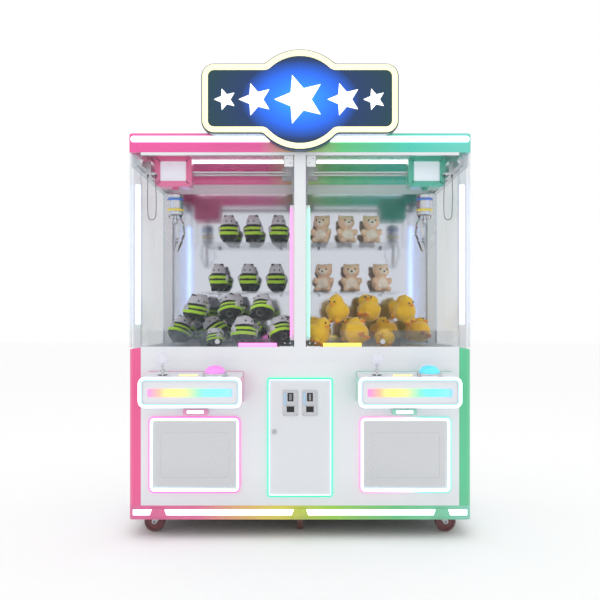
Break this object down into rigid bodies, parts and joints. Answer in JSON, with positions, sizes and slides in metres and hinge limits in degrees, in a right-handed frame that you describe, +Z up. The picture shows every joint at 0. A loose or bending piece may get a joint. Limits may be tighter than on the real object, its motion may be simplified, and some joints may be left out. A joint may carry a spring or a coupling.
{
  "type": "prize crane machine",
  "caption": "Two-player prize crane arcade cabinet with glazed play areas, claws, joystick consoles, prize flaps and an illuminated sign.",
  "frame": {"origin": "floor level at the middle of the machine's footprint, consoles included", "axes": "+Z up, +Y to the machine's back, +X to the player's right"},
  "size_m": [1.6, 1.115, 2.273],
  "materials": {
    "steel_black": "satin",
    "base_paint": "satin, colour runs from pink to green",
    "white_panel": "satin white paint on board",
    "trim_paint": "gloss, pink left and green right",
    "clear_acrylic": "clear",
    "mirror": "polished",
    "white_light": "diffuser, lit",
    "sign_face": "lit face",
    "sign_glow": "diffuser, lit",
    "coin_door_paint": "satin",
    "chrome": "polished",
    "silver_flap": "polished",
    "door_glass": "clear",
    "sheet_zinc": "zinc plated",
    "console_plastic": "gloss",
    "stick_clear": "clear",
    "button_pink": "lit dome",
    "button_cyan": "lit dome",
    "head_pink": "gloss",
    "head_green": "gloss",
    "rope_steel": "stranded",
    "cable_grey": "matt",
    "plush": "plush",
    "fork_zinc": "zinc plated",
    "wheel_red": "polyurethane"
  },
  "bodies": {
    "root": {"chassis_plate": "steel_black", "base_bumper": "base_paint", "front_panel": "white_panel", "cabinet_panels": "white_panel", "play_deck": "white_panel", "upper_frame": "white_panel", "roof_panel": "white_panel", "corner_trims": "trim_paint", "clear_panels": "clear_acrylic", "back_mirror": "mirror", "light_strips": "white_light", "ring_lights": "white_light", "sign_board": "sign_face", "sign_border": "sign_glow", "prize_chutes": "sheet_zinc", "electrics": "sheet_zinc", "gantry_rails": "sheet_zinc", "consoles": "console_plastic", "prizes": "plush"},
    "glass_door_left": {"glass_door_left": "door_glass"},
    "prize_flap_left": {"prize_flap_left": "silver_flap"},
    "gimbal_left": {"gimbal_left": "sheet_zinc"},
    "joystick_left": {"joystick_left": "stick_clear"},
    "button_left": {"button_left": "button_pink"},
    "bridge_left": {"bridge_left": "chrome", "trailing_cable_left": "cable_grey"},
    "trolley_left": {"trolley_left": "head_pink", "hoist_rope_left": "rope_steel"},
    "claw_left": {"claw_head_left": "chrome"},
    "claw_finger_left_1": {"claw_finger_left_1": "chrome"},
    "claw_finger_left_2": {"claw_finger_left_2": "chrome"},
    "claw_finger_left_3": {"claw_finger_left_3": "chrome"},
    "glass_door_right": {"glass_door_right": "door_glass"},
    "prize_flap_right": {"prize_flap_right": "silver_flap"},
    "gimbal_right": {"gimbal_right": "sheet_zinc"},
    "joystick_right": {"joystick_right": "stick_clear"},
    "button_right": {"button_right": "button_cyan"},
    "bridge_right": {"bridge_right": "chrome", "trailing_cable_right": "cable_grey"},
    "trolley_right": {"trolley_right": "head_green", "hoist_rope_right": "rope_steel"},
    "claw_right": {"claw_head_right": "chrome"},
    "claw_finger_right_1": {"claw_finger_right_1": "chrome"},
    "claw_finger_right_2": {"claw_finger_right_2": "chrome"},
    "claw_finger_right_3": {"claw_finger_right_3": "chrome"},
    "coin_door": {"coin_door": "coin_door_paint", "coin_mechs": "chrome"},
    "door_lock": {"door_lock": "chrome"},
    "caster_fork_front_left": {"caster_fork_front_left": "fork_zinc"},
    "caster_wheel_front_left": {"caster_wheel_front_left": "wheel_red"},
    "caster_fork_front_middle": {"caster_fork_front_middle": "fork_zinc"},
    "caster_wheel_front_middle": {"caster_wheel_front_middle": "wheel_red"},
    "caster_fork_front_right": {"caster_fork_front_right": "fork_zinc"},
    "caster_wheel_front_right": {"caster_wheel_front_right": "wheel_red"},
    "caster_fork_rear_left": {"caster_fork_rear_left": "fork_zinc"},
    "caster_wheel_rear_left": {"caster_wheel_rear_left": "wheel_red"},
    "caster_fork_rear_middle": {"caster_fork_rear_middle": "fork_zinc"},
    "caster_wheel_rear_middle": {"caster_wheel_rear_middle": "wheel_red"},
    "caster_fork_rear_right": {"caster_fork_rear_right": "fork_zinc"},
    "caster_wheel_rear_right": {"caster_wheel_rear_right": "wheel_red"}
  },
  "joints": [
    {"name": "glass_door_left_hinge", "type": "hinge", "parent": "root", "child": "glass_door_left", "pos_m": [-0.038, -0.3325, 1.345], "axis": [0, 0, 1], "range_deg": [0, 90]},
    {"name": "prize_flap_left_hinge", "type": "hinge", "parent": "root", "child": "prize_flap_left", "pos_m": [-0.494, -0.3375, 0.545], "axis": [1, 0, 0], "range_deg": [0, 70]},
    {"name": "joystick_left_forward", "type": "hinge", "parent": "root", "child": "gimbal_left", "pos_m": [-0.624, -0.4525, 0.726], "axis": [1, 0, 0], "range_deg": [-12, 12], "stiffness_Nm_per_rad": 3},
    {"name": "joystick_left_sideways", "type": "hinge", "parent": "gimbal_left", "child": "joystick_left", "pos_m": [-0.624, -0.4525, 0.726], "axis": [0, 1, 0], "range_deg": [-12, 12], "stiffness_Nm_per_rad": 3},
    {"name": "button_left_press", "type": "slide", "parent": "root", "child": "button_left", "axis": [0, 0.1067, -0.9943], "range_m": [0, 0.006], "stiffness_N_per_m": 500, "springref_m": -0.012},
    {"name": "bridge_left_travel", "type": "slide", "parent": "root", "child": "bridge_left", "axis": [0, 1, 0], "range_m": [0, 0.32]},
    {"name": "trolley_left_travel", "type": "slide", "parent": "bridge_left", "child": "trolley_left", "axis": [1, 0, 0], "range_m": [0, 0.42]},
    {"name": "claw_left_lift", "type": "slide", "parent": "trolley_left", "child": "claw_left", "axis": [0, 0, -1], "range_m": [0, 0.2], "deforming": ["hoist_rope_left"]},
    {"name": "claw_left_finger_1", "type": "hinge", "parent": "claw_left", "child": "claw_finger_left_1", "pos_m": [-0.618, -0.1055, 1.522], "axis": [1, 0, 0], "range_deg": [0, 28]},
    {"name": "claw_left_finger_2", "type": "hinge", "parent": "claw_left", "child": "claw_finger_left_2", "pos_m": [-0.64138, -0.146, 1.522], "axis": [-0.5, 0.866, 0], "range_deg": [0, 28]},
    {"name": "claw_left_finger_3", "type": "hinge", "parent": "claw_left", "child": "claw_finger_left_3", "pos_m": [-0.59462, -0.146, 1.522], "axis": [-0.5, -0.866, 0], "range_deg": [0, 28]},
    {"name": "glass_door_right_hinge", "type": "hinge", "parent": "root", "child": "glass_door_right", "pos_m": [0.038, -0.3325, 1.345], "axis": [0, 0, -1], "range_deg": [0, 90]},
    {"name": "prize_flap_right_hinge", "type": "hinge", "parent": "root", "child": "prize_flap_right", "pos_m": [0.494, -0.3375, 0.545], "axis": [1, 0, 0], "range_deg": [0, 70]},
    {"name": "joystick_right_forward", "type": "hinge", "parent": "root", "child": "gimbal_right", "pos_m": [0.35, -0.4525, 0.726], "axis": [1, 0, 0], "range_deg": [-12, 12], "stiffness_Nm_per_rad": 3},
    {"name": "joystick_right_sideways", "type": "hinge", "parent": "gimbal_right", "child": "joystick_right", "pos_m": [0.35, -0.4525, 0.726], "axis": [0, 1, 0], "range_deg": [-12, 12], "stiffness_Nm_per_rad": 3},
    {"name": "button_right_press", "type": "slide", "parent": "root", "child": "button_right", "axis": [0, 0.1067, -0.9943], "range_m": [0, 0.006], "stiffness_N_per_m": 500, "springref_m": -0.012},
    {"name": "bridge_right_travel", "type": "slide", "parent": "root", "child": "bridge_right", "axis": [0, 1, 0], "range_m": [0, 0.32]},
    {"name": "trolley_right_travel", "type": "slide", "parent": "bridge_right", "child": "trolley_right", "axis": [-1, 0, 0], "range_m": [0, 0.42]},
    {"name": "claw_right_lift", "type": "slide", "parent": "trolley_right", "child": "claw_right", "axis": [0, 0, -1], "range_m": [0, 0.2], "deforming": ["hoist_rope_right"]},
    {"name": "claw_right_finger_1", "type": "hinge", "parent": "claw_right", "child": "claw_finger_right_1", "pos_m": [0.618, -0.1055, 1.522], "axis": [1, 0, 0], "range_deg": [0, 28]},
    {"name": "claw_right_finger_2", "type": "hinge", "parent": "claw_right", "child": "claw_finger_right_2", "pos_m": [0.59462, -0.146, 1.522], "axis": [-0.5, 0.866, 0], "range_deg": [0, 28]},
    {"name": "claw_right_finger_3", "type": "hinge", "parent": "claw_right", "child": "claw_finger_right_3", "pos_m": [0.64138, -0.146, 1.522], "axis": [-0.5, -0.866, 0], "range_deg": [0, 28]},
    {"name": "coin_door_hinge", "type": "hinge", "parent": "root", "child": "coin_door", "pos_m": [0.1345, -0.341, 0.471], "axis": [0, 0, 1], "range_deg": [0, 100]},
    {"name": "door_lock_turn", "type": "hinge", "parent": "coin_door", "child": "door_lock", "pos_m": [-0.12, -0.3425, 0.498], "axis": [0, 1, 0], "range_deg": [0, 90]},
    {"name": "caster_front_left_swivel", "type": "hinge", "parent": "root", "child": "caster_fork_front_left", "pos_m": [-0.665, -0.2305, 0.12], "axis": [0, 0, 1], "continuous": true},
    {"name": "caster_front_left_roll", "type": "hinge", "parent": "caster_fork_front_left", "child": "caster_wheel_front_left", "pos_m": [-0.701, -0.2305, 0.05], "axis": [0, 1, 0], "continuous": true},
    {"name": "caster_front_middle_swivel", "type": "hinge", "parent": "root", "child": "caster_fork_front_middle", "pos_m": [0, -0.2305, 0.12], "axis": [0, 0, 1], "continuous": true},
    {"name": "caster_front_middle_roll", "type": "hinge", "parent": "caster_fork_front_middle", "child": "caster_wheel_front_middle", "pos_m": [0, -0.1945, 0.05], "axis": [1, 0, 0], "continuous": true},
    {"name": "caster_front_right_swivel", "type": "hinge", "parent": "root", "child": "caster_fork_front_right", "pos_m": [0.665, -0.2305, 0.12], "axis": [0, 0, 1], "continuous": true},
    {"name": "caster_front_right_roll", "type": "hinge", "parent": "caster_fork_front_right", "child": "caster_wheel_front_right", "pos_m": [0.701, -0.2305, 0.05], "axis": [0, -1, 0], "continuous": true},
    {"name": "caster_rear_left_swivel", "type": "hinge", "parent": "root", "child": "caster_fork_rear_left", "pos_m": [-0.665, 0.4455, 0.12], "axis": [0, 0, 1], "continuous": true},
    {"name": "caster_rear_left_roll", "type": "hinge", "parent": "caster_fork_rear_left", "child": "caster_wheel_rear_left", "pos_m": [-0.701, 0.4455, 0.05], "axis": [0, 1, 0], "continuous": true},
    {"name": "caster_rear_middle_swivel", "type": "hinge", "parent": "root", "child": "caster_fork_rear_middle", "pos_m": [0, 0.4455, 0.12], "axis": [0, 0, 1], "continuous": true},
    {"name": "caster_rear_middle_roll", "type": "hinge", "parent": "caster_fork_rear_middle", "child": "caster_wheel_rear_middle", "pos_m": [0, 0.4095, 0.05], "axis": [-1, 0, 0], "continuous": true},
    {"name": "caster_rear_right_swivel", "type": "hinge", "parent": "root", "child": "caster_fork_rear_right", "pos_m": [0.665, 0.4455, 0.12], "axis": [0, 0, 1], "continuous": true},
    {"name": "caster_rear_right_roll", "type": "hinge", "parent": "caster_fork_rear_right", "child": "caster_wheel_rear_right", "pos_m": [0.701, 0.4455, 0.05], "axis": [0, -1, 0], "continuous": true}
  ],
  "couplings": [
    {"joint": "claw_left_finger_2", "follows": "claw_left_finger_1", "ratio": 1},
    {"joint": "claw_left_finger_3", "follows": "claw_left_finger_1", "ratio": 1},
    {"joint": "claw_right_finger_2", "follows": "claw_right_finger_1", "ratio": 1},
    {"joint": "claw_right_finger_3", "follows": "claw_right_finger_1", "ratio": 1}
  ]
}
